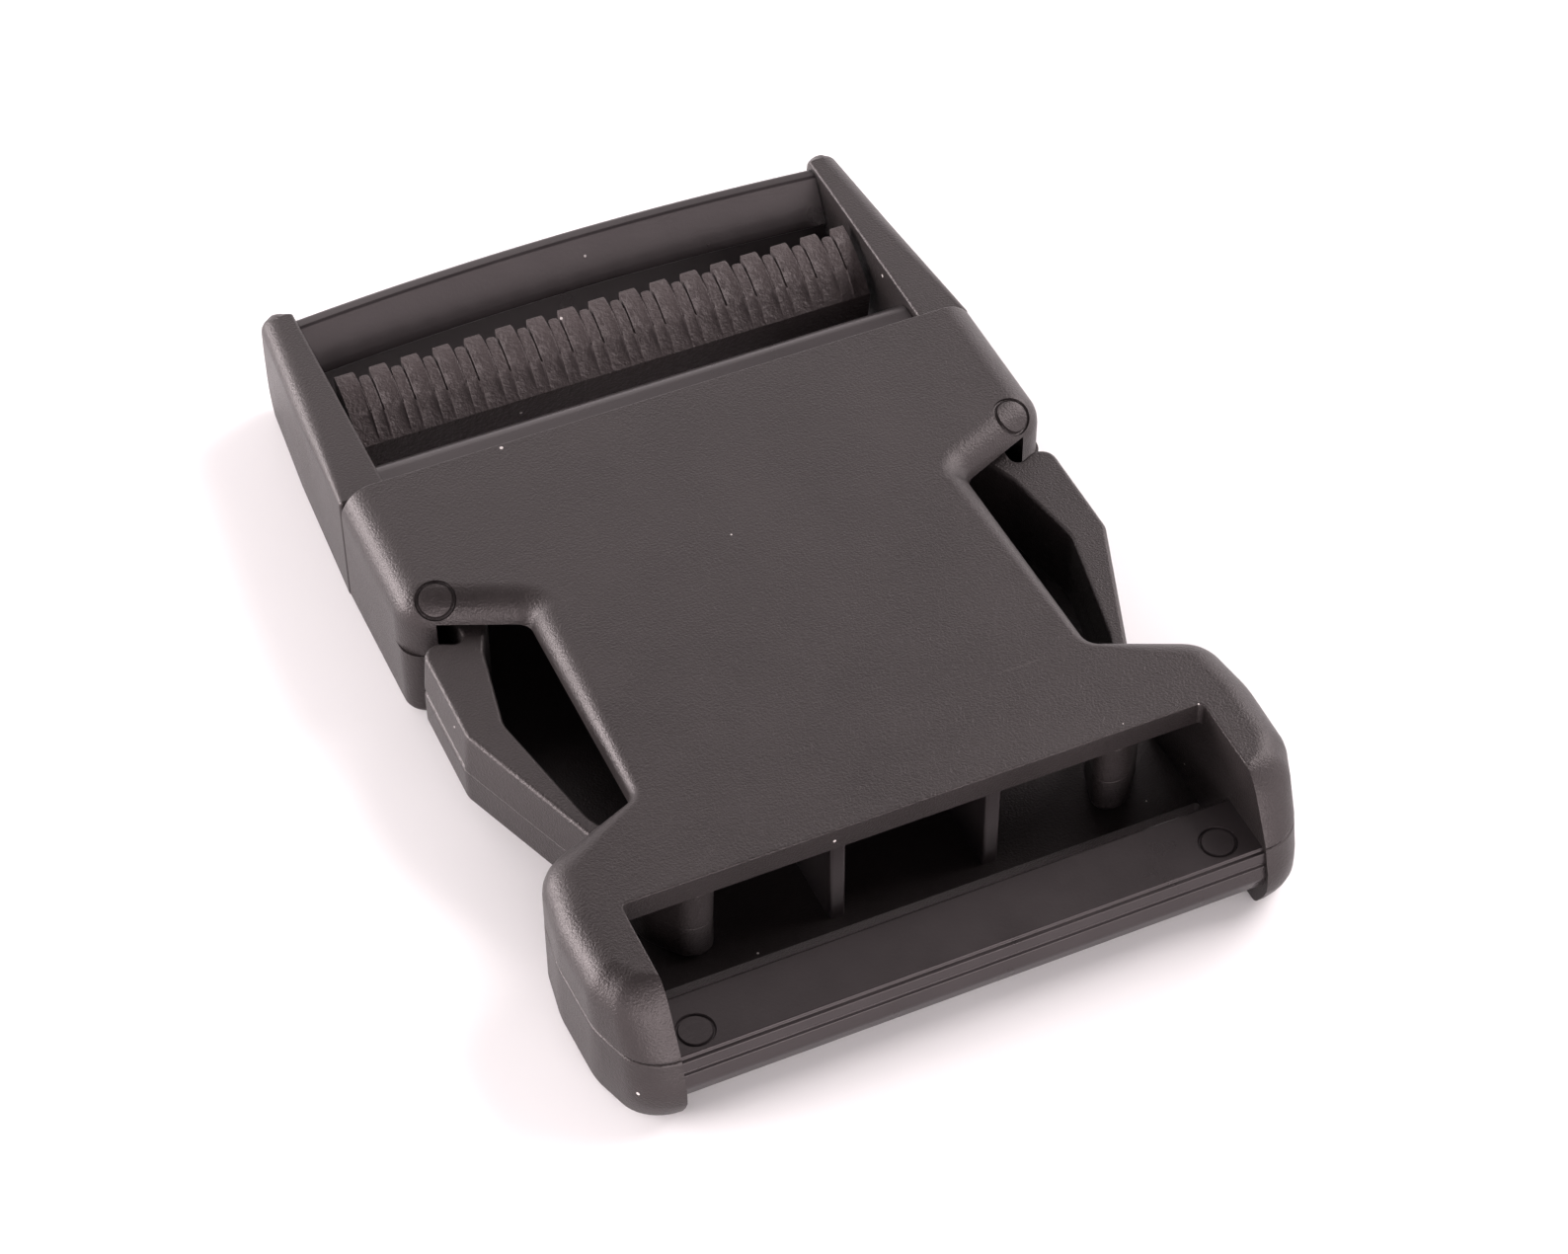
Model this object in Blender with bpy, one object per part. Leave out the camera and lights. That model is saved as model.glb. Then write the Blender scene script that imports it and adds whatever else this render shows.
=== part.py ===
"""Side-release strap buckle for 50 mm webbing, latched.

The socket takes the plug from +Y. Its webbing loops round a fixed bar at -Y. The plug ends in an
adjuster, where the webbing runs over a toothed bar and round a plain bar. Two sprung arms on the plug
catch behind the walls of the socket's mouth until their pads are pressed together.
Lengths are in metres. Every outline is drawn from the mouth plane, y = 0, on the table, z = 0.
"""
import math

import bmesh
import bpy
from mathutils import Vector

# ---- driving dimensions ----
WEBBING_GAP = 0.0512          # clear width for the webbing at both ends
SOCKET_HALF_WIDTH = 0.0302    # mouth ring
END_HALF_WIDTH = 0.0309       # wide webbing end of the socket
SOCKET_HEIGHT = 0.01326
SOCKET_LENGTH = 0.0645        # mouth plane to the webbing end
PLUG_LENGTH = 0.0273          # mouth plane to the plug's far end
PARTING_HEIGHT = 0.0072       # where the two halves of the mould met
JOINT_GAP = 0.0003            # left between members that touch

FLOOR = 0.0020                # thickness of the lower plate
ROOF = 0.0110                 # underside of the upper plate
MOUTH_INNER_HALF = 0.0275
EDGE_ROLL = 0.0020            # radius of the upper plate's outer edges
WAIST_HALF = 0.0204           # upper plate between the finger notches
NOTCH_REAR_Y = -0.0420
WINDOW_Y = -0.0520            # rear edge of the strap window in the upper plate
LOWER_WINDOW_Y = -0.0530      # and in the lower plate
CATCH_SLOPE = 0.4388          # the mouth ring's rear edge runs back as it nears the middle
CATCH_OUTER_Y = -0.0149

ARM_PIVOT = (0.0242, -0.0023)
ARM_ROOT_RADIUS = 0.0016
ARM_LOW = 0.0023
ARM_HIGH = 0.0102
PAD_HALF = 0.0298             # outer face of the finger pads, at their parting line
PAD_BEND_Y = -0.0280
ARM_TIP_Y = -0.0517
CATCH_PLAY = 0.0014           # how far the pads stand behind the mouth ring

CROSSBAR_NOSE = 0.0059
CROSSBAR_TOP = ROOF - JOINT_GAP

RAIL_TOP = 0.0116
RAIL_OUTER = 0.0302
TOOTH_PITCH = 0.00303
TOOTH_COUNT = 17
FIRST_TOOTH_X = -0.0240

RIB_X = 0.0069
RIB_THICKNESS = 0.0014
TONGUE_HALF = 0.0032

MOUTH_Y = (SOCKET_LENGTH - PLUG_LENGTH) / 2   # puts the origin midway along the buckle
WEBBING_HALF = WEBBING_GAP / 2
ARC_STEPS = 5
SAME_PLACE = 1e-6             # points nearer than this are one point
BEYOND = 0.004                # how far a cutter runs past the face it opens
PROUD = 0.0005                # how far a plan outline runs past the side profile that trims it


# ---- outlines ----
def rounded(corners, steps=ARC_STEPS):
    """A closed outline through corners (x, y, radius), with each corner turned into an arc."""
    points = []
    for i, (x, y, radius) in enumerate(corners):
        here = Vector((x, y))
        before = (Vector(corners[i - 1][:2]) - here).normalized()
        after = (Vector(corners[(i + 1) % len(corners)][:2]) - here).normalized()
        half = before.angle(after) / 2
        if radius == 0 or half > math.radians(89):
            points.append(here)
            continue
        shortest = min((Vector(corners[i - 1][:2]) - here).length,
                       (Vector(corners[(i + 1) % len(corners)][:2]) - here).length)
        reach = min(radius / math.tan(half), shortest / 2)
        radius = reach * math.tan(half)
        centre = here + (before + after).normalized() * radius / math.sin(half)
        first = here + before * reach - centre
        turn = first.angle_signed(here + after * reach - centre)
        for step in range(steps + 1):
            angle = -turn * step / steps
            spun = Vector((first.x * math.cos(angle) - first.y * math.sin(angle),
                           first.x * math.sin(angle) + first.y * math.cos(angle)))
            points.append(centre + spun)
    return [point for i, point in enumerate(points) if (point - points[i - 1]).length > SAME_PLACE]


def both_sides(right_half):
    """Corners of a shape that is the same left and right, from the corners of its right half."""
    left_half = [(-x, y, radius) for x, y, radius in reversed(right_half) if x != 0]
    return right_half + left_half


def drawn_in(outline, distance, share):
    """The outline moved inwards by share(point) of a distance. It runs clockwise seen from +Z."""
    moved = []
    for i, here in enumerate(outline):
        along_in = (here - outline[i - 1]).normalized()
        along_out = (outline[(i + 1) % len(outline)] - here).normalized()
        normal_in = Vector((along_in.y, -along_in.x))
        normal_out = Vector((along_out.y, -along_out.x))
        mitre = (normal_in + normal_out) / (1 + normal_in.dot(normal_out))
        moved.append(here + mitre * distance * share(here))
    return moved


def catch_line(x):
    """Where the mouth ring's rear edge lies at a distance x from the middle."""
    return CATCH_OUTER_Y - CATCH_SLOPE * (SOCKET_HALF_WIDTH - x)


def quarter_round(top, radius, steps=4):
    """Levels (z, distance) of a rounded upper edge."""
    levels = []
    for step in range(steps + 1):
        angle = math.pi / 2 * step / steps
        levels.append((top - radius * (1 - math.sin(angle)), radius * (1 - math.cos(angle))))
    return levels


# ---- solids ----
def finished(name, mesh_data, material, parent):
    """An object from a bmesh, with its faces turned outwards, shaded smooth between its creases."""
    bmesh.ops.remove_doubles(mesh_data, verts=mesh_data.verts, dist=SAME_PLACE)
    bmesh.ops.recalc_face_normals(mesh_data, faces=mesh_data.faces)
    mesh = bpy.data.meshes.new(name)
    mesh_data.to_mesh(mesh)
    mesh_data.free()
    piece = bpy.data.objects.new(name, mesh)
    bpy.context.scene.collection.objects.link(piece)
    piece.parent = parent
    if material:
        mesh.materials.append(material)
        mesh.shade_smooth()
        mesh.set_sharp_from_angle(angle=math.radians(30))
    else:
        piece.hide_render = True
        piece.display_type = 'WIRE'
    return piece


def skin(name, rings, material, parent):
    """A closed solid through rings of the same number of points."""
    data = bmesh.new()
    loops = [[data.verts.new(point) for point in ring] for ring in rings]
    for lower, upper in zip(loops, loops[1:]):
        for i in range(len(lower)):
            data.faces.new((lower[i - 1], lower[i], upper[i], upper[i - 1]))
    data.faces.new(loops[0])
    data.faces.new(reversed(loops[-1]))
    return finished(name, data, material, parent)


def whole(point):
    """The share of a plate's drawing in that every point takes."""
    return 1.0


def slab(name, outline, levels, material, parent, share=whole):
    """A plate of the outline's shape, drawn in by a distance at each level (z, distance)."""
    rings = []
    for z, distance in levels:
        rings.append([(p.x, p.y, z) for p in drawn_in(outline, distance, share)])
    return skin(name, rings, material, parent)


def bar(name, profile, half_length, material, parent, bow=0.0, steps=8):
    """A bar along X of a profile (y, z), bowed towards +Y in the middle by a distance."""
    rings = []
    for step in range(steps + 1):
        x = half_length * (2 * step / steps - 1)
        shift = bow * (1 - (x / half_length) ** 2)
        rings.append([(x, p.x + shift, p.y) for p in profile])
    return skin(name, rings, material, parent)


def box(name, low, high, material, parent):
    """A plain block between two corners."""
    outline = [Vector((low[0], low[1])), Vector((low[0], high[1])),
               Vector((high[0], high[1])), Vector((high[0], low[1]))]
    return slab(name, outline, [(low[2], 0), (high[2], 0)], material, parent)


def combine(target, other, operation):
    """A Boolean between a piece and a hidden shape, which stays in the scene."""
    step = target.modifiers.new(other.name, 'BOOLEAN')
    step.operation = operation
    step.solver = 'EXACT'
    step.object = other


def plastic(name, colour, roughness):
    """Black moulded plastic."""
    material = bpy.data.materials.new(name)
    material.use_nodes = True
    shader = material.node_tree.nodes['Principled BSDF']
    shader.inputs['Base Color'].default_value = (*colour, 1)
    shader.inputs['Roughness'].default_value = roughness
    shader.inputs['Metallic'].default_value = 0.0
    return material


def marker(name, place, parent=None):
    """An empty that carries pieces."""
    empty = bpy.data.objects.new(name, None)
    bpy.context.scene.collection.objects.link(empty)
    empty.location = place
    empty.parent = parent
    return empty


# ---- socket ----
def end_corners():
    """Right half of the wide webbing end, from its shoulder round to the foot."""
    return [(0.0299, -0.0446, 0.0036), (END_HALF_WIDTH, -0.0510, 0.010),
            (END_HALF_WIDTH - 0.0002, -0.0580, 0.008), (0.0286, -SOCKET_LENGTH - PROUD, 0.003),
            (0, -SOCKET_LENGTH - PROUD, 0)]


def cavity(low, high, parent, name):
    """The room inside the socket, open at the mouth, in the finger notches and at the window."""
    right = [(0, BEYOND, 0), (MOUTH_INNER_HALF, BEYOND, 0),
             (MOUTH_INNER_HALF, catch_line(MOUTH_INNER_HALF), 0),
             (0.033, catch_line(0.033), 0), (0.033, -0.0440, 0), (WEBBING_HALF, -0.0440, 0),
             (WEBBING_HALF, -SOCKET_LENGTH - BEYOND, 0), (0, -SOCKET_LENGTH - BEYOND, 0)]
    return slab(name, rounded(both_sides(right)), [(low, 0), (high, 0)], None, parent)


def side_profile(parent):
    """What both shells are trimmed to: the socket seen from the side, flat at the mouth."""
    end, low, top = -SOCKET_LENGTH, -PROUD, SOCKET_HEIGHT + PROUD
    corners = [(0, low, 0), (0, top, 0), (end + 0.0050, top, 0.0045), (end + 0.0010, 0.0070, 0.004),
               (end, 0.0046, 0.002), (end, 0.0026, 0.001), (end + 0.0014, low, 0.001)]
    return bar('socket_side_profile', rounded(corners), 0.034, None, parent, steps=1)


def upper_edge_share(point):
    """The upper plate is less rounded at its waist than at its ends."""
    return 0.6 if abs(point.x) < WAIST_HALF + 0.0015 else 1.0


def socket_shells(material, parent):
    """The upper and lower halves of the socket, either side of the mould's parting line."""
    profile = side_profile(parent)
    windows = [box(name, (-WEBBING_HALF, -SOCKET_LENGTH - BEYOND, -BEYOND),
                   (WEBBING_HALF, rear, SOCKET_HEIGHT + BEYOND), None, parent)
               for name, rear in (('upper_window_cut', WINDOW_Y), ('lower_window_cut', LOWER_WINDOW_Y))]
    upper_corners = [(0, BEYOND, 0), (SOCKET_HALF_WIDTH, BEYOND, 0.001),
                     (SOCKET_HALF_WIDTH, CATCH_OUTER_Y, 0.0026),
                     (WAIST_HALF, catch_line(WAIST_HALF), 0.0012),
                     (WAIST_HALF, NOTCH_REAR_Y, 0.0015)] + end_corners()
    upper_levels = [(PARTING_HEIGHT + JOINT_GAP / 2, 0.00025), (PARTING_HEIGHT + 0.0005, 0.0)]
    upper = slab('socket_top_shell', rounded(both_sides(upper_corners)),
                 upper_levels + quarter_round(SOCKET_HEIGHT, EDGE_ROLL), material, parent,
                 share=upper_edge_share)
    combine(upper, profile, 'INTERSECT')
    combine(upper, cavity(FLOOR, ROOF, parent, 'upper_cavity_cut'), 'DIFFERENCE')
    combine(upper, windows[0], 'DIFFERENCE')

    lower_corners = [(0, BEYOND, 0), (SOCKET_HALF_WIDTH, BEYOND, 0.001),
                     (SOCKET_HALF_WIDTH, CATCH_OUTER_Y, 0.0010),
                     (0.0277, catch_line(0.0277), 0), (0.0278, -0.0235, 0.002),
                     (0.0252, -0.0375, 0.002), (0.0252, -0.0438, 0)] + end_corners()
    lower = slab('socket_bottom_shell', rounded(both_sides(lower_corners)),
                 [(0, 0.0007), (0.0004, 0.0003), (0.0012, 0.0001), (PARTING_HEIGHT - 0.0005, 0.0),
                  (PARTING_HEIGHT - JOINT_GAP / 2, 0.00025)], material, parent)
    combine(lower, profile, 'INTERSECT')
    combine(lower, cavity(FLOOR, ROOF, parent, 'lower_cavity_cut'), 'DIFFERENCE')
    combine(lower, windows[1], 'DIFFERENCE')


def strap_bar(material, parent):
    """The fixed bar that the sewn webbing loops round. Its flat top lies below the window's rim."""
    corners = [(-0.0573, 0.0028, 0.0004), (-0.0573, 0.0070, 0.0003), (-0.0634, 0.0070, 0.0010),
               (-0.0641, 0.0042, 0.0010), (-0.0636, 0.0026, 0.0006)]
    bar('socket_strap_bar', rounded(corners, steps=3), WEBBING_HALF - JOINT_GAP, material, parent)


def guide_ribs(material, parent):
    """Two upright webs between the plates, which keep the plug's tongue straight."""
    for side, name in ((-1, 'guide_rib_left'), (1, 'guide_rib_right')):
        x = side * RIB_X
        corners = [(x - RIB_THICKNESS / 2, -0.0518, 0.0003), (x - RIB_THICKNESS / 2, -0.0220, 0.0006),
                   (x + RIB_THICKNESS / 2, -0.0220, 0.0006), (x + RIB_THICKNESS / 2, -0.0518, 0.0003)]
        slab(name, rounded(corners, steps=2), [(FLOOR + JOINT_GAP, 0), (ROOF - JOINT_GAP, 0)],
             material, parent)


# ---- plug ----
def plug_crossbar(material, parent):
    """The cross member in the mouth, which carries the rails, the tongue and both arms."""
    low, high = ARM_LOW, CROSSBAR_TOP
    corners = [(-0.0040, low, 0.0006), (-0.0040, high, 0.0008), (CROSSBAR_NOSE, high, 0.0012),
               (CROSSBAR_NOSE - 0.0006, low, 0.0014)]
    crossbar = bar('plug_crossbar', rounded(corners, steps=4), WEBBING_HALF - JOINT_GAP, material,
                   parent, steps=1)
    for side, name in ((-1, 'left_arm_seat_cut'), (1, 'right_arm_seat_cut')):
        x, y = side * ARM_PIVOT[0], ARM_PIVOT[1]
        pocket = 0.0020
        seat = rounded([(x - pocket, y + pocket, pocket), (x + pocket, y + pocket, pocket),
                        (x + pocket, -0.008, 0), (x - pocket, -0.008, 0)], steps=6)
        combine(crossbar, slab(name, seat, [(0, 0), (SOCKET_HEIGHT, 0)], None, parent), 'DIFFERENCE')


def guide_tongue(material, parent):
    """The flat tongue that runs between the socket's ribs."""
    corners = [(-TONGUE_HALF, -0.0043, 0), (TONGUE_HALF, -0.0043, 0), (TONGUE_HALF - 0.0004, -0.0380, 0.0024),
               (-TONGUE_HALF + 0.0004, -0.0380, 0.0024)]
    slab('plug_guide_tongue', rounded(corners),
         [(0.0040, 0.0004), (0.0045, 0), (0.0080, 0), (0.0085, 0.0004)], material, parent)


def rail_share(point):
    """The rails are rounded outside and square inside."""
    return 1.0 if abs(point.x) > WEBBING_HALF + 2 * JOINT_GAP else 0.0


def plug_rails(material, parent):
    """The two side rails of the adjuster, rounded at the far end."""
    inner, start = WEBBING_HALF + 0.0001, JOINT_GAP
    side = bar('rail_side_profile',
               rounded([(-BEYOND, -PROUD, 0), (-BEYOND, RAIL_TOP + PROUD, 0),
                        (PLUG_LENGTH - 0.0004, RAIL_TOP + PROUD, 0.0030), (PLUG_LENGTH, 0.0068, 0.0020),
                        (PLUG_LENGTH, 0.0042, 0.0020), (PLUG_LENGTH - 0.0014, -PROUD, 0.0030)]),
               0.034, None, parent, steps=1)
    levels = [(0, 0.0005), (0.0005, 0.0002), (0.0020, 0), (0.0088, 0.0001), (0.0103, 0.0004),
              (0.0112, 0.0008), (RAIL_TOP, 0.0013)]
    for mirror, name in ((-1, 'plug_rail_left'), (1, 'plug_rail_right')):
        far = PLUG_LENGTH + PROUD
        corners = [(inner, start, 0), (inner, far, 0), (0.0286, far, 0.0022),
                   (0.0295, 0.0150, 0.020), (RAIL_OUTER, start, 0)]
        outline = [Vector((mirror * p.x, p.y)) for p in rounded(corners)]
        if mirror < 0:
            outline.reverse()
        rail = slab(name, outline, levels, material, parent, share=rail_share)
        combine(rail, side, 'INTERSECT')


def toothed_bar(material, parent):
    """The adjuster bar. Teeth along its rear edge bite the webbing, and its front slopes down."""
    corners = [(0.0106, 0.0034, 0.0005), (0.0102, 0.0075, 0.0006), (0.0120, 0.0101, 0.0012),
               (0.0157, 0.0102, 0.0003), (0.0156, 0.0070, 0.0006), (0.0146, 0.0034, 0.0005)]
    length = WEBBING_HALF - 2 * JOINT_GAP
    base = bar('plug_toothed_bar', rounded(corners, steps=3), length, material, parent, steps=1)
    for tooth in range(TOOTH_COUNT):
        x = FIRST_TOOTH_X + tooth * TOOTH_PITCH
        width = TOOTH_PITCH * 0.36
        low, high = 0.0085, 0.0109
        corners = [(0.0118, low, 0), (0.0118, 0.0102, 0.0004), (0.0126, high, 0.0004),
                   (0.0163, high + 0.0001, 0.0004), (0.0163, low, 0.0004)]
        profile = rounded(corners, steps=2)
        rings = [[(x + offset, p.x, p.y) for p in profile] for offset in (-width / 2, width / 2)]
        combine(base, skin(f'tooth_{tooth:02d}', rings, None, parent), 'UNION')


def rear_bar(material, parent):
    """The plain bar at the plug's end, leaning outwards and slightly bowed."""
    corners = [(0.0212, 0.0020, 0.0010), (0.0216, 0.0052, 0.0008), (0.0240, 0.0110, 0.0005),
               (0.0252, 0.0110, 0.0007), (0.0254, 0.0060, 0.0020), (0.0242, 0.0012, 0.0012)]
    bar('plug_rear_bar', rounded(corners, steps=3), WEBBING_HALF - JOINT_GAP, material, parent,
        bow=0.0012)


# ---- arms ----
def latch_arm(name, mirror, material, carriage):
    """A sprung arm: a thin root, the finger pad with its catch shoulder, and a blunt tip."""
    px, py = ARM_PIVOT
    r = ARM_ROOT_RADIUS
    corners = [(px - r, py + r, r), (px + r, py + r, r),
               (px + r, catch_line(px + r) - CATCH_PLAY, 0.0008),
               (PAD_HALF, catch_line(PAD_HALF) - CATCH_PLAY, 0.0013), (PAD_HALF, PAD_BEND_Y, 0.0025),
               (0.0222, ARM_TIP_Y + 0.0032, 0.0030), (0.0196, ARM_TIP_Y, 0.0022),
               (0.0168, ARM_TIP_Y + 0.0006, 0.0016), (0.0182, ARM_TIP_Y + 0.0052, 0.0040),
               (0.0236, -0.0412, 0.0060), (0.0263, -0.0279, 0.0030), (0.0247, -0.0197, 0.0030),
               (px - r, -0.0150, 0.0040)]
    outline = [Vector((mirror * (p.x - px), p.y - py)) for p in rounded(corners)]
    if mirror < 0:
        outline.reverse()
    pivot = marker(name + '_pivot', (mirror * px, py, 0), carriage)
    slab(name, outline, [(ARM_LOW, 0.0005), (ARM_LOW + 0.0004, 0.0002), (0.0055, 0), (0.0068, 0),
                         (ARM_HIGH - 0.0003, 0.0003), (ARM_HIGH, 0.0005)], material, pivot)


def build():
    for old in list(bpy.data.objects):
        bpy.data.objects.remove(old)
    grained = plastic('grained_black_plastic', (0.030, 0.026, 0.026), 0.55)
    smooth = plastic('smooth_black_plastic', (0.022, 0.020, 0.020), 0.35)
    datum = marker('mouth_plane', (0, MOUTH_Y, 0))
    carriage = marker('plug_carriage', (0, 0, 0), datum)
    socket_shells(grained, datum)
    strap_bar(smooth, datum)
    guide_ribs(smooth, datum)
    plug_crossbar(smooth, carriage)
    guide_tongue(smooth, carriage)
    plug_rails(grained, carriage)
    toothed_bar(grained, carriage)
    rear_bar(smooth, carriage)
    latch_arm('latch_arm_left', -1, grained, carriage)
    latch_arm('latch_arm_right', 1, grained, carriage)


build()
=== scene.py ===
"""Looks of a side-release strap buckle for 50 mm webbing, latched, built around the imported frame.

Every piece is drawn in metres from the mouth of the socket: y = 0 is the mouth plane, x = 0 the middle
of the buckle and z = 0 the table. It is then moved to where the frame has that mouth plane.
"""

import math

import bmesh
import bpy
from mathutils import Matrix, Vector


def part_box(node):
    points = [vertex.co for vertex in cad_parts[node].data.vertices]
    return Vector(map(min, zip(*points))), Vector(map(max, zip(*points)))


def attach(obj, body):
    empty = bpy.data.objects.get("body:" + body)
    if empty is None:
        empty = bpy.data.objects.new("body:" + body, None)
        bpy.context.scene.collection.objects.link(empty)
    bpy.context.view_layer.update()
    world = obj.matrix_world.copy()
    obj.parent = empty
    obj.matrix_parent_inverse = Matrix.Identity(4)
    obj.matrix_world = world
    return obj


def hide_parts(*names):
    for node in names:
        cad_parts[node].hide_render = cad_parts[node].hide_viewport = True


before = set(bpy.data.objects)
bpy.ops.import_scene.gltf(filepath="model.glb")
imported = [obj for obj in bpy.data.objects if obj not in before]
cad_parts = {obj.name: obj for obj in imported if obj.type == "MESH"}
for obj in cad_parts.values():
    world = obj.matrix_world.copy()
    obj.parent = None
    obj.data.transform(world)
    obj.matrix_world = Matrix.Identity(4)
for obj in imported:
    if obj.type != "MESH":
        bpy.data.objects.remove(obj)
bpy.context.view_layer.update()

# ---- sizes taken from the frame ----
UPPER_LOW, UPPER_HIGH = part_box("socket_top_shell")
LOWER_LOW, LOWER_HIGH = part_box("socket_bottom_shell")
RAIL_LOW, RAIL_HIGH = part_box("plug_rail_right")
BAR_LOW, BAR_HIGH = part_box("socket_strap_bar")
CROSS_LOW, CROSS_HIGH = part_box("plug_crossbar")
RIB_LOW, RIB_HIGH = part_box("guide_rib_right")
TONGUE_LOW, TONGUE_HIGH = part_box("plug_guide_tongue")
TEETH_LOW, TEETH_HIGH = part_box("plug_toothed_bar")
ARM_BOX_LOW, ARM_BOX_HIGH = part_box("latch_arm_right")

MOUTH_Y = UPPER_HIGH.y
SOCKET_HEIGHT = UPPER_HIGH.z
SOCKET_LENGTH = MOUTH_Y - LOWER_LOW.y
PLUG_LENGTH = RAIL_HIGH.y - MOUTH_Y
END_HALF_WIDTH = UPPER_HIGH.x
WEBBING_HALF = BAR_HIGH.x + 0.0003
RAIL_TOP = RAIL_HIGH.z
RAIL_INNER = RAIL_LOW.x
RAIL_OUTER = RAIL_HIGH.x
PARTING_HEIGHT = (UPPER_LOW.z + LOWER_HIGH.z) / 2

# ---- other driving dimensions ----
SOCKET_HALF_WIDTH = 0.0302
FLOOR = 0.0020
ROOF = 0.0110
MOUTH_INNER_HALF = 0.0275
WAIST_HALF = 0.0204
NOTCH_REAR_Y = -0.0420
END_FRONT_Y = -0.0440
WINDOW_Y = -0.0520
LOWER_WINDOW_Y = -0.0530
CATCH_SLOPE = 0.4388
CATCH_OUTER_Y = -0.0149
ARM_PIVOT = (0.0242, -0.0023)
ARM_ROOT_RADIUS = 0.0016
PAD_HALF = ARM_BOX_HIGH.x
PAD_BEND_Y = -0.0280
ARM_PARTING = 0.0060
CATCH_PLAY = 0.0014
ARM_TIP_Y = ARM_BOX_LOW.y - MOUTH_Y
TOOTH_PITCH = 0.00303
TOOTH_COUNT = 17
FIRST_TOOTH_X = -0.0240

ARC_STEPS = 10
ROUND_STEPS = 8
BEYOND = 0.004
SAME_PLACE = 1e-6
CREASE_ANGLE = math.radians(32)


# ---- outlines ----
def rounded(corners, steps=ARC_STEPS):
    """A closed outline through corners (x, y, radius), with each corner turned into an arc."""
    points = []
    for i, (x, y, radius) in enumerate(corners):
        here = Vector((x, y))
        before = (Vector(corners[i - 1][:2]) - here).normalized()
        after = (Vector(corners[(i + 1) % len(corners)][:2]) - here).normalized()
        half = before.angle(after) / 2
        if radius == 0 or half > math.radians(89):
            points.append(here)
            continue
        shortest = min((Vector(corners[i - 1][:2]) - here).length,
                       (Vector(corners[(i + 1) % len(corners)][:2]) - here).length)
        reach = min(radius / math.tan(half), shortest / 2)
        radius = reach * math.tan(half)
        centre = here + (before + after).normalized() * radius / math.sin(half)
        first = here + before * reach - centre
        turn = first.angle_signed(here + after * reach - centre)
        for step in range(steps + 1):
            points.append(centre + Matrix.Rotation(-turn * step / steps, 2) @ first)
    return [point for i, point in enumerate(points) if (point - points[i - 1]).length > SAME_PLACE]


def both_sides(right_half):
    """Corners of a shape that is the same left and right, from the corners of its right half."""
    return right_half + [(-x, y, radius) for x, y, radius in reversed(right_half) if x != 0]


def on_side(side, outline):
    """A clockwise outline of the right side, or for side -1 its mirror image, clockwise again."""
    if side > 0:
        return outline
    return [Vector((-p.x, p.y)) for p in reversed(outline)]


def inward(outline):
    """For each point of a clockwise outline, the way in: one step along it moves both sides by one."""
    ways = []
    for i, here in enumerate(outline):
        along_in = (here - outline[i - 1]).normalized()
        along_out = (outline[(i + 1) % len(outline)] - here).normalized()
        normal_in = Vector((along_in.y, -along_in.x))
        normal_out = Vector((along_out.y, -along_out.x))
        ways.append((normal_in + normal_out) / (1 + normal_in.dot(normal_out)))
    return ways


def catch_line(x):
    """Where the mouth ring's rear edge lies at a distance x from the middle."""
    return CATCH_OUTER_Y - CATCH_SLOPE * (SOCKET_HALF_WIDTH - x)


def smooth_step(value, start, end):
    """0 before start, 1 after end, and an even ease between them."""
    share = min(1.0, max(0.0, (value - start) / (end - start)))
    return share * share * (3 - 2 * share)


# ---- meshes ----
def solid(name, rings):
    """A closed solid through rings of the same number of points."""
    data = bmesh.new()
    loops = [[data.verts.new(point) for point in ring] for ring in rings]
    for lower, upper in zip(loops, loops[1:]):
        for i in range(len(lower)):
            data.faces.new((lower[i - 1], lower[i], upper[i], upper[i - 1]))
    data.faces.new(loops[0])
    data.faces.new(reversed(loops[-1]))
    bmesh.ops.remove_doubles(data, verts=data.verts, dist=SAME_PLACE)
    bmesh.ops.recalc_face_normals(data, faces=data.faces)
    mesh = bpy.data.meshes.new(name)
    data.to_mesh(mesh)
    data.free()
    piece = bpy.data.objects.new(name, mesh)
    bpy.context.scene.collection.objects.link(piece)
    return piece


def plate(name, outline, low, high, low_round, high_round, walls=1):
    """A plate between two heights. low_round and high_round give the edge radius at each point."""
    ways = inward(outline)
    rings = []
    for step in range(ROUND_STEPS + 1):
        angle = math.pi / 2 * step / ROUND_STEPS
        rings.append([(*(p + way * low_round(p) * (1 - math.sin(angle))),
                       low + low_round(p) * (1 - math.cos(angle))) for p, way in zip(outline, ways)])
    for step in range(1, walls):
        share = step / walls
        rings.append([(*p, (low + low_round(p)) * (1 - share) + (high - high_round(p)) * share)
                      for p in outline])
    for step in range(ROUND_STEPS + 1):
        angle = math.pi / 2 * step / ROUND_STEPS
        rings.append([(*(p + way * high_round(p) * (1 - math.cos(angle))),
                       high - high_round(p) * (1 - math.sin(angle))) for p, way in zip(outline, ways)])
    return solid(name, rings)


def bar(name, profile, half_length, bow=0.0, steps=1):
    """A bar along X of a profile (y, z), bowed towards +Y in the middle by a distance."""
    rings = []
    for step in range(steps + 1):
        x = half_length * (2 * step / steps - 1)
        shift = bow * (1 - (x / half_length) ** 2)
        rings.append([(x, p.x + shift, p.y) for p in profile])
    return solid(name, rings)


def settle(piece):
    """Makes a piece's modifiers part of its mesh."""
    shaped = piece.evaluated_get(bpy.context.evaluated_depsgraph_get())
    mesh = bpy.data.meshes.new_from_object(shaped)
    piece.modifiers.clear()
    piece.data = mesh


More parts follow.
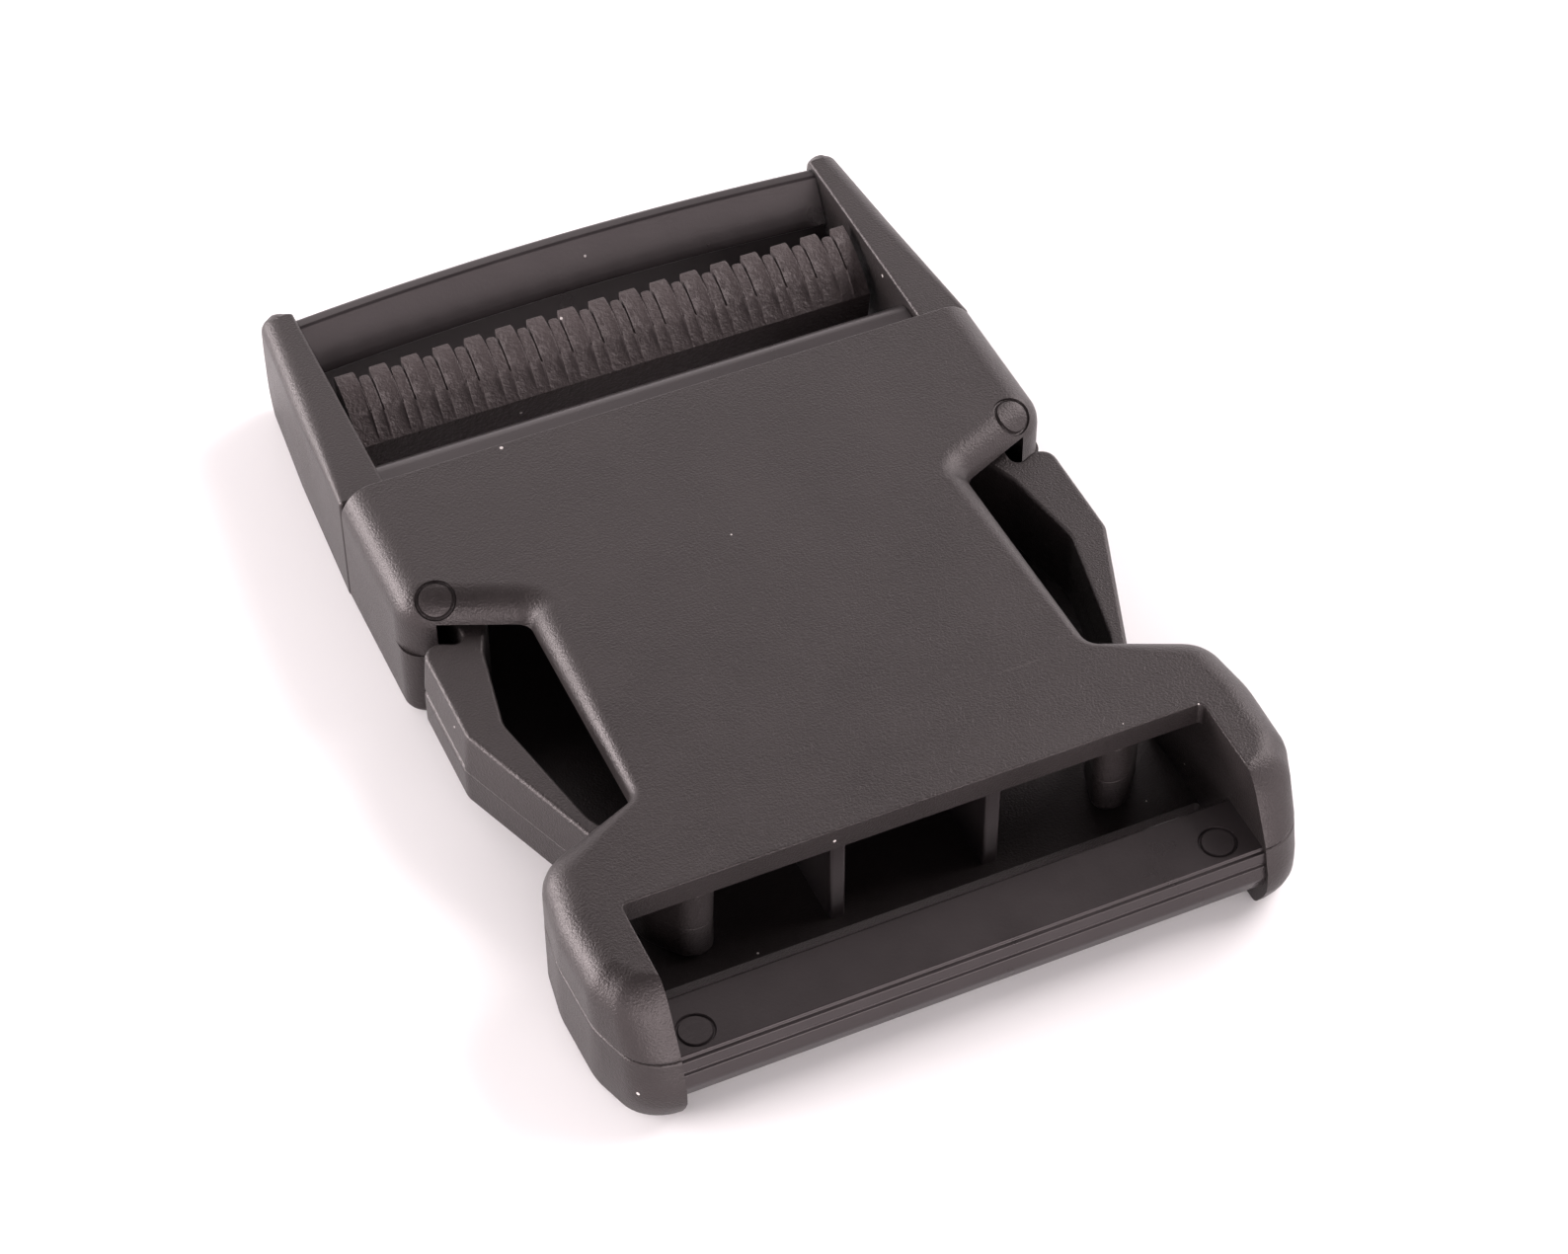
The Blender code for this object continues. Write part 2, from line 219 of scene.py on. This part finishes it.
def combine(piece, other, operation="DIFFERENCE"):
    """Cuts another shape out of a piece, or joins it on, and removes that shape."""
    step = piece.modifiers.new("combine", "BOOLEAN")
    step.operation = operation
    step.solver = "EXACT"
    step.object = other
    settle(piece)
    bpy.data.objects.remove(other)


def reshape(piece, place):
    """Moves every point of a piece to place(point)."""
    for vertex in piece.data.vertices:
        vertex.co = place(vertex.co)


def pin_mark(piece, centre, facing, radius, groove):
    """Cuts the circle that an ejector pin leaves, as a groove that follows the piece's surface.

    centre is a point near the surface, and facing is the way that the marked surface faces.
    """
    around, across = 48, 10
    away, deeper = 0.003, 1.4
    facing = Vector(facing).normalized()
    first = facing.orthogonal().normalized()
    second = facing.cross(first)
    bpy.context.view_layer.update()
    data = bmesh.new()
    loops = []
    for i in range(around):
        angle = 2 * math.pi * i / around
        out = first * math.cos(angle) + second * math.sin(angle)
        found, surface, _, _ = piece.ray_cast(Vector(centre) + out * radius + facing * away, -facing)
        if not found:
            raise ValueError(f"a pin mark runs off {piece.name}")
        loop = []
        for j in range(across):
            roll = 2 * math.pi * j / across
            across_groove = out * groove * math.cos(roll)
            into_groove = facing * deeper * groove * math.sin(roll)
            loop.append(data.verts.new(surface + across_groove + into_groove))
        loops.append(loop)
    for i in range(around):
        for j in range(across):
            data.faces.new((loops[i - 1][j - 1], loops[i][j - 1], loops[i][j], loops[i - 1][j]))
    bmesh.ops.recalc_face_normals(data, faces=data.faces)
    mesh = bpy.data.meshes.new("pin_mark")
    data.to_mesh(mesh)
    data.free()
    groove_shape = bpy.data.objects.new("pin_mark", mesh)
    bpy.context.scene.collection.objects.link(groove_shape)
    combine(piece, groove_shape)


def finish_piece(piece, material, body, slot, *nodes):
    """Moves a piece to its place in the frame, gives it its finish and lets it ride on its body."""
    piece.data.materials.clear()
    piece.data.materials.append(material)
    piece.data.shade_smooth()
    piece.data.set_sharp_from_angle(angle=CREASE_ANGLE)
    evened = piece.modifiers.new("even_normals", "WEIGHTED_NORMAL")
    evened.keep_sharp = True
    piece.location = (0, MOUTH_Y, 0)
    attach(piece, body)
    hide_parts(*nodes)


# ---- materials ----
def linear(code):
    """An sRGB hex colour as linear red, green, blue and full alpha."""
    channels = []
    for start in (1, 3, 5):
        value = int(code[start:start + 2], 16) / 255
        channels.append(value / 12.92 if value <= 0.04045 else ((value + 0.055) / 1.055) ** 2.4)
    return (*channels, 1.0)


def add(owner, kind, options=None, inputs=None):
    """Adds a node to a material or a world. An input is a value, or another node's output to link."""
    tree = owner.node_tree
    node = tree.nodes.new("ShaderNode" + kind)
    for name, value in (options or {}).items():
        setattr(node, name, value)
    for name, value in (inputs or {}).items():
        if isinstance(value, bpy.types.NodeSocket):
            tree.links.new(value, node.inputs[name])
        else:
            node.inputs[name].default_value = value
    return node


def spots_per_metre(size_mm):
    """A texture's scale for a feature of a size in millimetres."""
    return 1000 / size_mm


def moulded_acetal(name, colour, dust_colour, roughness, grain_mm, grain_depth, dust_share, bloom):
    """Black acetal, as it leaves the mould.

    The mould's own face gives it its grain and so its sheen. A thin bloom pales it where it is seen
    along the surface. Handling has left faint rub marks, and pale dust sits on it in places. The real
    grain is too fine to show, so grain_mm is a little coarser.
    """
    material = bpy.data.materials.new(name)
    material.use_nodes = True
    shader = material.node_tree.nodes["Principled BSDF"]
    shader.inputs["IOR"].default_value = 1.48
    shader.inputs["Metallic"].default_value = 0.0
    shader.inputs["Sheen Weight"].default_value = bloom
    shader.inputs["Sheen Roughness"].default_value = 0.3
    shader.inputs["Specular Tint"].default_value = linear("#fff2f3")
    links = material.node_tree.links
    place = add(material, "TexCoord").outputs["Object"]

    grain = add(material, "TexNoise", inputs={"Vector": place, "Scale": spots_per_metre(grain_mm),
                                              "Detail": 2.0, "Roughness": 0.6})
    clouds = add(material, "TexNoise", inputs={"Vector": place, "Scale": spots_per_metre(9.0),
                                               "Detail": 4.0, "Roughness": 0.6})
    rub_place = add(material, "Mapping", inputs={"Vector": place, "Rotation": (0, 0, math.radians(34)),
                                                 "Scale": (60, 1600, 60)})
    rubs = add(material, "TexNoise", inputs={"Vector": rub_place.outputs["Vector"], "Scale": 1.0,
                                             "Detail": 1.0})
    rub_lines = add(material, "MapRange", inputs={"Value": rubs.outputs["Fac"], "From Min": 0.80,
                                                  "From Max": 0.95})
    specks = add(material, "TexVoronoi", inputs={"Vector": place, "Scale": spots_per_metre(4.0)})
    speck_size = add(material, "TexNoise", inputs={"Vector": place, "Scale": spots_per_metre(5.0),
                                                   "Detail": 0.0})
    speck_reach = add(material, "MapRange", inputs={"Value": speck_size.outputs["Fac"],
                                                    "From Min": 0.38, "From Max": 0.58,
                                                    "To Min": 0.0, "To Max": dust_share})
    dust = add(material, "Math", {"operation": "LESS_THAN"},
               {0: specks.outputs["Distance"], 1: speck_reach.outputs["Result"]})

    tone = add(material, "MapRange", inputs={"Value": clouds.outputs["Fac"], "From Min": 0.3,
                                             "From Max": 0.7, "To Min": 0.86, "To Max": 1.14})
    base = add(material, "Mix", {"data_type": "RGBA", "blend_type": "MULTIPLY"},
               {"Factor": 1.0, "A": linear(colour), "B": tone.outputs["Result"]})
    rubbed = add(material, "Mix", {"data_type": "RGBA"},
                 {"Factor": rub_lines.outputs["Result"], "A": base.outputs["Result"],
                  "B": linear("#4a4544")})
    dusty = add(material, "Mix", {"data_type": "RGBA"},
                {"Factor": dust.outputs["Value"], "A": rubbed.outputs["Result"],
                 "B": linear(dust_colour)})
    links.new(dusty.outputs["Result"], shader.inputs["Base Color"])

    sheen = add(material, "MapRange", inputs={"Value": clouds.outputs["Fac"], "From Min": 0.3,
                                              "From Max": 0.7, "To Min": roughness - 0.04,
                                              "To Max": roughness + 0.04})
    links.new(sheen.outputs["Result"], shader.inputs["Roughness"])
    bump = add(material, "Bump", inputs={"Strength": 1.0, "Distance": grain_depth,
                                         "Height": grain.outputs["Fac"]})
    links.new(bump.outputs["Normal"], shader.inputs["Normal"])
    return material


# ---- socket ----
def end_corners():
    """Right half of the wide webbing end, from its shoulder round to the foot."""
    return [(0.0299, -0.0446, 0.0038), (END_HALF_WIDTH, -0.0510, 0.010),
            (END_HALF_WIDTH - 0.0002, -0.0580, 0.008), (0.0288, -SOCKET_LENGTH, 0.0042),
            (0, -SOCKET_LENGTH, 0)]


def leaning_end(point):
    """The webbing end leans in above the parting line and tucks under below its belly."""
    start = -0.0560
    if point.y > start:
        return point
    height = point.z
    if height > PARTING_HEIGHT:
        tuck = 0.0008 + 0.0034 * (height - PARTING_HEIGHT) / (SOCKET_HEIGHT - PARTING_HEIGHT)
    else:
        tuck = 0.0008 * smooth_step(height, 0.0040, PARTING_HEIGHT)
        tuck += 0.0012 * (1 - smooth_step(height, 0.0, 0.0030))
    share = (point.y - start) / (-SOCKET_LENGTH - start)
    return Vector((point.x, point.y + tuck * share, height))


def cavity(low, high):
    """The room inside the socket, open at the mouth, in the finger notches and at the window."""
    wide = SOCKET_HALF_WIDTH + 0.0038
    right = [(0, BEYOND, 0), (MOUTH_INNER_HALF, BEYOND, 0),
             (MOUTH_INNER_HALF, catch_line(MOUTH_INNER_HALF), 0),
             (wide, catch_line(wide), 0), (wide, END_FRONT_Y, 0), (WEBBING_HALF, END_FRONT_Y, 0),
             (WEBBING_HALF, -SOCKET_LENGTH - BEYOND, 0), (0, -SOCKET_LENGTH - BEYOND, 0)]
    outline = rounded(both_sides(right))
    return solid("cavity", [[(*p, low) for p in outline], [(*p, high) for p in outline]])


def strap_window(rear):
    """The opening for the webbing, with a soft rim."""
    rim = 0.0002
    right = [(0, rear, 0), (WEBBING_HALF, rear, 0.0005),
             (WEBBING_HALF, -SOCKET_LENGTH - BEYOND, 0), (0, -SOCKET_LENGTH - BEYOND, 0)]
    outline = rounded(both_sides(right), steps=4)
    ways = inward(outline)
    rings = []
    for z, spread in ((-BEYOND, 0), (SOCKET_HEIGHT - rim, 0), (SOCKET_HEIGHT - 0.3 * rim, 0.3 * rim),
                      (SOCKET_HEIGHT, rim), (SOCKET_HEIGHT + BEYOND, rim + BEYOND)):
        rings.append([(*(p - way * spread), z) for p, way in zip(outline, ways)])
    return solid("window", rings)


def upper_round(point):
    """Edge radius of the upper plate: broad at the sides and over the catches, less at the waist."""
    waist, notch_rear, broad = 0.0015, 0.0010, 0.0029
    x, back = abs(point.x), -point.y
    inner = waist + (broad - waist) * (1 - smooth_step(back, 0.0194, 0.0215))
    inner += (notch_rear - waist) * smooth_step(back, 0.0380, 0.0415)
    return inner + (broad - inner) * smooth_step(x, WAIST_HALF + 0.0015, 0.0285)


def parting_round(point):
    """The parting line shows as a groove round the webbing end only."""
    return 0.0003 * smooth_step(-point.y, 0.0425, -END_FRONT_Y) + 0.00002


def flat_mouth(piece):
    """Cuts a shell off flat at the mouth plane and takes the sharpness off its front edges."""
    room = 0.05
    outline = [(-room, 0), (-room, room), (room, room), (room, 0)]
    combine(piece, solid("front", [[(*p, -room) for p in outline], [(*p, room) for p in outline]]))
    data = bmesh.new()
    data.from_mesh(piece.data)
    front = [edge for edge in data.edges if all(abs(v.co.y) < SAME_PLACE for v in edge.verts)
             and edge.calc_face_angle(0) > CREASE_ANGLE and edge.verts[0].co.z > ROOF]
    bmesh.ops.bevel(data, geom=front, offset=0.0002, segments=3, profile=0.5, affect="EDGES")
    data.to_mesh(piece.data)
    data.free()


def socket_shells(grained):
    """The upper and lower halves of the socket."""
    upper_corners = [(0, BEYOND, 0), (SOCKET_HALF_WIDTH, BEYOND, 0.0032),
                     (SOCKET_HALF_WIDTH, CATCH_OUTER_Y, 0.0034),
                     (WAIST_HALF, catch_line(WAIST_HALF), 0.0016),
                     (WAIST_HALF, NOTCH_REAR_Y, 0.0015)] + end_corners()
    upper = plate("socket_upper_shell", rounded(both_sides(upper_corners)), PARTING_HEIGHT,
                  SOCKET_HEIGHT, parting_round, upper_round, walls=5)
    reshape(upper, leaning_end)
    flat_mouth(upper)
    combine(upper, cavity(FLOOR, ROOF))
    combine(upper, strap_window(WINDOW_Y))
    for side in (-1, 1):
        on_roll, outwards = (side * 0.0270, -0.0148, 0.0127), (side * 0.25, -0.55, 0.85)
        pin_mark(upper, on_roll, outwards, 0.0016, 0.00020)
    finish_piece(upper, grained, "socket", "grained_plastic", "socket_top_shell")

    lower_corners = [(0, BEYOND, 0), (SOCKET_HALF_WIDTH, BEYOND, 0.0032),
                     (SOCKET_HALF_WIDTH, CATCH_OUTER_Y, 0.0030),
                     (0.0277, catch_line(0.0277), 0), (0.0278, -0.0235, 0.002),
                     (0.0252, -0.0375, 0.002), (0.0252, -0.0438, 0)] + end_corners()
    lower = plate("socket_lower_shell", rounded(both_sides(lower_corners)), 0, PARTING_HEIGHT,
                  lambda point: 0.0008, parting_round, walls=6)
    reshape(lower, leaning_end)
    flat_mouth(lower)
    combine(lower, cavity(FLOOR, ROOF))
    combine(lower, strap_window(LOWER_WINDOW_Y))
    finish_piece(lower, grained, "socket", "grained_plastic", "socket_bottom_shell")


def strap_bar(smooth):
    """The fixed bar that the sewn webbing loops round. Two fine grooves run along its front."""
    low, top = BAR_LOW.z, BAR_HIGH.z
    fine = 0.00012
    corners = [(-0.0573, low, 0.0004), (-0.0573, top, 0.0003), (-0.0631, top, fine),
               (-0.0632, top - 0.0003, fine), (-0.0635, top - 0.0003, fine),
               (-0.0637, top - 0.0012, fine), (-0.0635, top - 0.0014, fine),
               (-0.0638, top - 0.0016, fine), (-0.0641, 0.0042, 0.0008), (-0.0636, low, 0.0006)]
    piece = bar("socket_strap_bar_look", rounded(corners, steps=4), WEBBING_HALF)
    for x in (-0.0234, 0.0226):
        pin_mark(piece, (x, -0.0611, top), (0, 0, 1), 0.0015, 0.00016)
    finish_piece(piece, smooth, "socket", "smooth_plastic", "socket_strap_bar")


def guide_ribs(smooth):
    """Two upright webs between the plates."""
    for side, name in ((-1, "guide_rib_left"), (1, "guide_rib_right")):
        left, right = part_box(name)[0].x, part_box(name)[1].x
        front, back = RIB_LOW.y - MOUTH_Y, RIB_HIGH.y - MOUTH_Y
        corners = [(left, front, 0.0003), (left, back, 0.0006), (right, back, 0.0006),
                   (right, front, 0.0003)]
        rib = plate(name + "_look", rounded(corners, steps=4), FLOOR, ROOF,
                    lambda point: 0.00002, lambda point: 0.00002)
        finish_piece(rib, smooth, "socket", "smooth_plastic", name)


# ---- plug ----
def crossbar(smooth):
    """The rounded cross member in the mouth."""
    nose = CROSS_HIGH.y - MOUTH_Y
    corners = [(-0.0040, CROSS_LOW.z, 0.0006), (-0.0040, CROSS_HIGH.z, 0.0008),
               (nose, CROSS_HIGH.z, 0.0022), (nose - 0.0006, CROSS_LOW.z, 0.0014)]
    piece = bar("plug_crossbar_look", rounded(corners), WEBBING_HALF)
    finish_piece(piece, smooth, "plug", "smooth_plastic", "plug_crossbar")


def guide_tongue(smooth):
    """The flat tongue that runs between the socket's ribs."""
    half, front = TONGUE_HIGH.x, TONGUE_LOW.y - MOUTH_Y
    corners = [(-half, -0.0036, 0), (half, -0.0036, 0), (half - 0.0004, front, 0.0024),
               (-half + 0.0004, front, 0.0024)]
    piece = plate("plug_guide_tongue_look", rounded(corners), TONGUE_LOW.z, TONGUE_HIGH.z,
                  lambda point: 0.0004, lambda point: 0.0004)
    finish_piece(piece, smooth, "plug", "smooth_plastic", "plug_guide_tongue")


def rail_nose(point):
    """The rails' far ends are rounded off, seen from the side."""
    start = PLUG_LENGTH - 0.0045
    if point.y < start:
        return point
    belly_low, belly_high = 0.0042, 0.0068
    rise = max(0.0, (point.z - belly_high) / (RAIL_TOP - belly_high))
    drop = max(0.0, (belly_low - point.z) / belly_low)
    tuck = 0.0013 * (1 - math.sqrt(max(0.0, 1 - 0.94 * rise ** 2)))
    tuck += 0.0026 * (1 - math.sqrt(max(0.0, 1 - 0.94 * drop ** 2)))
    share = (point.y - start) / (PLUG_LENGTH - start)
    return Vector((point.x, point.y - tuck * share, point.z))


def rail_round(point):
    """The rails are broadly rounded outside and at the tip, and nearly square inside."""
    outside = smooth_step(abs(point.x), RAIL_INNER + 0.0006, RAIL_INNER + 0.0024)
    tip = smooth_step(point.y, PLUG_LENGTH - 0.0016, PLUG_LENGTH - 0.0003)
    return 0.0003 + max(0.0015 * outside, 0.0011 * tip)


def rails(grained):
    """The two side rails of the adjuster."""
    near, far = RAIL_LOW.y - MOUTH_Y, PLUG_LENGTH
    corners = [(RAIL_INNER, near, 0.0003), (RAIL_INNER, far, 0.0015), (0.0286, far, 0.0022),
               (0.0295, 0.0150, 0.020), (RAIL_OUTER, near, 0.0004)]

    def top_round(point):
        """The top edge's radius, which grows from almost nothing beside the socket."""
        return min(rail_round(point), 0.0003 + 0.5 * (point.y - near))

    for side, name in ((-1, "plug_rail_left"), (1, "plug_rail_right")):
        rail = plate(name + "_look", on_side(side, rounded(corners)), 0, RAIL_TOP,
                     lambda point: 0.0004, top_round, walls=10)
        reshape(rail, rail_nose)
        finish_piece(rail, grained, "plug", "grained_plastic", name)


def ridge_stations():
    """Places along the adjuster bar and the height there, from 0 in a groove to 1 on a broad ridge.

    Broad and narrow ridges take turns, with a deep groove before each broad one and a shallow groove
    after it. Each end of the bar has a plain land.
    """
    turn = [(-0.30, 0.10), (-0.285, 0.55), (-0.27, 0.88), (-0.24, 1.0), (0.0, 1.0), (0.24, 1.0),
            (0.27, 0.93), (0.285, 0.70), (0.30, 0.42), (0.315, 0.55), (0.34, 0.74), (0.38, 0.80),
            (0.50, 0.82), (0.60, 0.80), (0.645, 0.72), (0.66, 0.50), (0.675, 0.10)]
    last = TOOTH_COUNT - 1
    stations = [(-TEETH_HIGH.x, 1.0)]
    for tooth in range(TOOTH_COUNT):
        for share, height in turn:
            before_first = tooth == 0 and share < 0.24
            after_last = tooth == last and share > -0.24
            if not before_first and not after_last:
                stations.append((FIRST_TOOTH_X + (tooth + share) * TOOTH_PITCH, height))
    return stations + [(TEETH_HIGH.x, 1.0)]


def toothed_bar(coarse):
    """The adjuster bar. Its ridges fade out down its front slope and overhang its rear face."""
    front, lip = 0.0102, 0.0075
    low, top = TEETH_LOW.z, TEETH_HIGH.z
    groove_rear, overhang = 0.0148, 0.0015
    groove, slope_curve, slope_steps = 0.0007, 1.7, 28
    rings = []
    for x, height in ridge_stations():
        rear = groove_rear + overhang * height ** 3
        ring = [(x, 0.0143, low), (x, 0.0111, low), (x, 0.0107, low + 0.0004), (x, 0.0102, lip - 0.0003)]
        for step in range(slope_steps + 1):
            share = step / slope_steps
            rise = 1 - (1 - share) ** slope_curve
            cut = groove * (1 - height) * smooth_step(share, 0.40, 0.47)
            ring.append((x, front + (rear - front) * share, lip + (top - lip) * rise - cut))
        end = ring[-1][2]
        ring += [(x, rear + 0.00012, end - 0.0001), (x, rear + 0.00015, end - 0.0006),
                 (x, 0.0157, 0.0080), (x, 0.0156, 0.0070), (x, 0.0147, low + 0.0004)]
        rings.append(ring)
    piece = solid("plug_toothed_bar_look", rings)
    finish_piece(piece, coarse, "plug", "grained_plastic", "plug_toothed_bar")


def rear_bar(smooth):
    """The plain bar at the plug's end, leaning outwards and slightly bowed."""
    corners = [(0.0214, 0.0020, 0.0008), (0.0213, 0.0070, 0.0001), (0.0211, 0.0072, 0.0001),
               (0.0213, 0.0075, 0.0001), (0.0215, 0.0078, 0.0012), (0.0238, 0.0110, 0.0004),
               (0.0252, 0.0110, 0.0006), (0.0254, 0.0060, 0.0020), (0.0242, 0.0012, 0.0012)]
    piece = bar("plug_rear_bar_look", rounded(corners, steps=6), WEBBING_HALF, bow=0.0012, steps=32)
    finish_piece(piece, smooth, "plug", "smooth_plastic", "plug_rear_bar")


# ---- arms ----
def arm_root(point):
    """The root is a little thinner where it runs into the crossbar, so it stays inside it."""
    thinner = 0.94
    share = smooth_step(point.y, -0.0052, -0.0042)
    height = ARM_PARTING + (point.z - ARM_PARTING) * (1 + (thinner - 1) * share)
    return Vector((point.x, point.y, height))


def arm_draft(point):
    """Above the parting line the finger pads lean in, so that their outer walls face up a little."""
    lean = 0.08
    outer = smooth_step(abs(point.x), 0.0240, 0.0285) * smooth_step(-point.y, 0.0120, 0.0160)
    beyond_bend = smooth_step(-point.y, -PAD_BEND_Y - 0.004, -PAD_BEND_Y + 0.006)
    shift = lean * max(0.0, point.z - ARM_PARTING) * max(outer, 0.5 * beyond_bend)
    return Vector((point.x - math.copysign(shift, point.x), point.y, point.z))


def arms(grained):
    """The sprung arms: a thin root, the finger pad with its catch shoulder, and a blunt tip."""
    px, py = ARM_PIVOT
    r = ARM_ROOT_RADIUS
    corners = [(px - r, py + r, r), (px + r, py + r, r),
               (px + r, catch_line(px + r) - CATCH_PLAY, 0.0008),
               (PAD_HALF, catch_line(PAD_HALF) - CATCH_PLAY, 0.0014), (PAD_HALF, PAD_BEND_Y, 0.0025),
               (0.0222, ARM_TIP_Y + 0.0032, 0.0030), (0.0196, ARM_TIP_Y, 0.0022),
               (0.0168, ARM_TIP_Y + 0.0006, 0.0016), (0.0182, ARM_TIP_Y + 0.0052, 0.0040),
               (0.0236, -0.0412, 0.0060), (0.0263, -0.0279, 0.0030), (0.0247, -0.0197, 0.0030),
               (px - r, -0.0150, 0.0040)]
    low, high = ARM_BOX_LOW.z, ARM_BOX_HIGH.z
    overlap = 0.00002

    def lip(point):
        """The parting line is an open groove on the pads' outer walls and hardly shows elsewhere."""
        on_pad = abs(point.x) > PAD_HALF - 0.0012 and point.y > PAD_BEND_Y + 0.0002
        return 0.00065 if on_pad else 0.00008

    for side, word in ((-1, "left"), (1, "right")):
        outline = on_side(side, rounded(corners))
        lower = plate(f"latch_arm_{word}_look", outline, low, ARM_PARTING + overlap,
                      lambda point: 0.0006, lip)
        upper = plate("upper_half", outline, ARM_PARTING, high, lip, lambda point: 0.0004)
        reshape(upper, arm_draft)
        reshape(upper, arm_root)
        reshape(lower, arm_root)
        combine(lower, upper, "UNION")
        finish_piece(lower, grained, f"{word}_arm", "grained_plastic", f"latch_arm_{word}")


# ---- studio ----
def studio():
    """A plain pale floor in a room that is white low down and dim above, with a soft light each side."""
    floor_half = 1.5
    mesh = bpy.data.meshes.new("floor")
    mesh.from_pydata([(-floor_half, -floor_half, 0), (floor_half, -floor_half, 0),
                      (floor_half, floor_half, 0), (-floor_half, floor_half, 0)], [], [(0, 1, 2, 3)])
    floor = bpy.data.objects.new("floor", mesh)
    bpy.context.scene.collection.objects.link(floor)
    paper = bpy.data.materials.new("white_paper")
    paper.use_nodes = True
    shader = paper.node_tree.nodes["Principled BSDF"]
    fibres = add(paper, "TexNoise", inputs={"Scale": spots_per_metre(0.4), "Detail": 2.0,
                 "Vector": add(paper, "TexCoord").outputs["Object"]})
    bump = add(paper, "Bump", inputs={"Strength": 0.1, "Distance": 0.00005,
                                      "Height": fibres.outputs["Fac"]})
    paper.node_tree.links.new(bump.outputs["Normal"], shader.inputs["Normal"])
    shader.inputs["Base Color"].default_value = linear("#f6f3f4")
    shader.inputs["Roughness"].default_value = 0.85
    mesh.materials.append(paper)

    world = bpy.data.worlds.new("white_room")
    world.use_nodes = True
    background = world.node_tree.nodes["Background"]
    background.inputs["Color"].default_value = linear("#fdf5f7")
    height = add(world, "SeparateXYZ", inputs={"Vector": add(world, "TexCoord").outputs["Generated"]})
    brightness = add(world, "MapRange", inputs={"Value": height.outputs["Z"], "From Min": 0.0,
                                                "From Max": 0.85, "To Min": 2.5, "To Max": 0.08})
    world.node_tree.links.new(brightness.outputs["Result"], background.inputs["Strength"])
    bpy.context.scene.world = world
    soft_light("back_panel", (-0.10, 1.00, 0.85), (1.0, 0.7), 3.0)
    soft_light("soft_box", (1.00, 0.15, 0.90), (0.9, 0.7), 17.0)
    soft_light("front_panel", (-0.10, -1.30, 0.28), (1.3, 0.5), 16.0)
    soft_light("left_panel", (-1.10, 0.60, 0.25), (1.2, 0.45), 30.0)


def soft_light(name, place, size, watts):
    """A rectangular soft light that faces the buckle and is not itself in view."""
    lamp = bpy.data.lights.new(name, "AREA")
    lamp.shape = "RECTANGLE"
    lamp.size, lamp.size_y = size
    lamp.energy = watts
    lamp.color = linear("#fffafa")[:3]
    holder = bpy.data.objects.new(name, lamp)
    bpy.context.scene.collection.objects.link(holder)
    holder.location = place
    holder.rotation_euler = (-Vector(place)).to_track_quat("-Z", "Y").to_euler()
    holder.visible_camera = False


def camera():
    """A long lens looking down on the buckle from its webbing end, a little to the left."""
    azimuth, elevation, roll = math.radians(-24.07), math.radians(46.62), math.radians(-0.27)
    distance = 0.32723
    aim = Vector((0.00088, MOUTH_Y - 0.02394, 0.0060))
    back = Vector((math.sin(azimuth) * math.cos(elevation), -math.cos(azimuth) * math.cos(elevation),
                   math.sin(elevation)))
    right = (-back).cross(Vector((0, 0, 1))).normalized()
    up = right.cross(-back)
    turned_right = math.cos(roll) * right + math.sin(roll) * up
    turned_up = -math.sin(roll) * right + math.cos(roll) * up
    lens = bpy.data.cameras.new("camera")
    lens.lens = 87.87
    lens.sensor_width = 36.0
    lens.clip_start = 0.01
    eye = bpy.data.objects.new("camera", lens)
    bpy.context.scene.collection.objects.link(eye)
    eye.matrix_world = Matrix((turned_right, turned_up, back)).transposed().to_4x4()
    eye.location = aim + back * distance
    bpy.context.scene.camera = eye


def build():
    """Makes the three finishes, every piece in its finish, and the studio round them."""
    # The shells, rails and arms: acetal from a mould face with a fine spark-eroded grain.
    grained = moulded_acetal("grained_black_acetal", "#1c1818", "#b8b0ae", roughness=0.42, grain_mm=0.20,
                             grain_depth=0.00006, dust_share=0.040, bloom=0.02)
    # The adjuster's toothed bar: the same acetal from a rougher spark-eroded face, which grips webbing.
    coarse = moulded_acetal("coarse_black_acetal", "#383131", "#b8b0ae", roughness=0.55, grain_mm=0.40,
                            grain_depth=0.00014, dust_share=0.040, bloom=0.05)
    # The plain bars, ribs and tongue: acetal from a polished mould face, smooth and half glossy.
    smooth = moulded_acetal("smooth_black_acetal", "#211d1e", "#a09a98", roughness=0.30, grain_mm=0.30,
                            grain_depth=0.000008, dust_share=0.030, bloom=0.0)
    socket_shells(grained)
    strap_bar(smooth)
    guide_ribs(smooth)
    crossbar(smooth)
    guide_tongue(smooth)
    rails(grained)
    toothed_bar(coarse)
    rear_bar(smooth)
    arms(grained)
    studio()
    camera()
    bpy.context.scene.view_settings.view_transform = "Standard"


build()
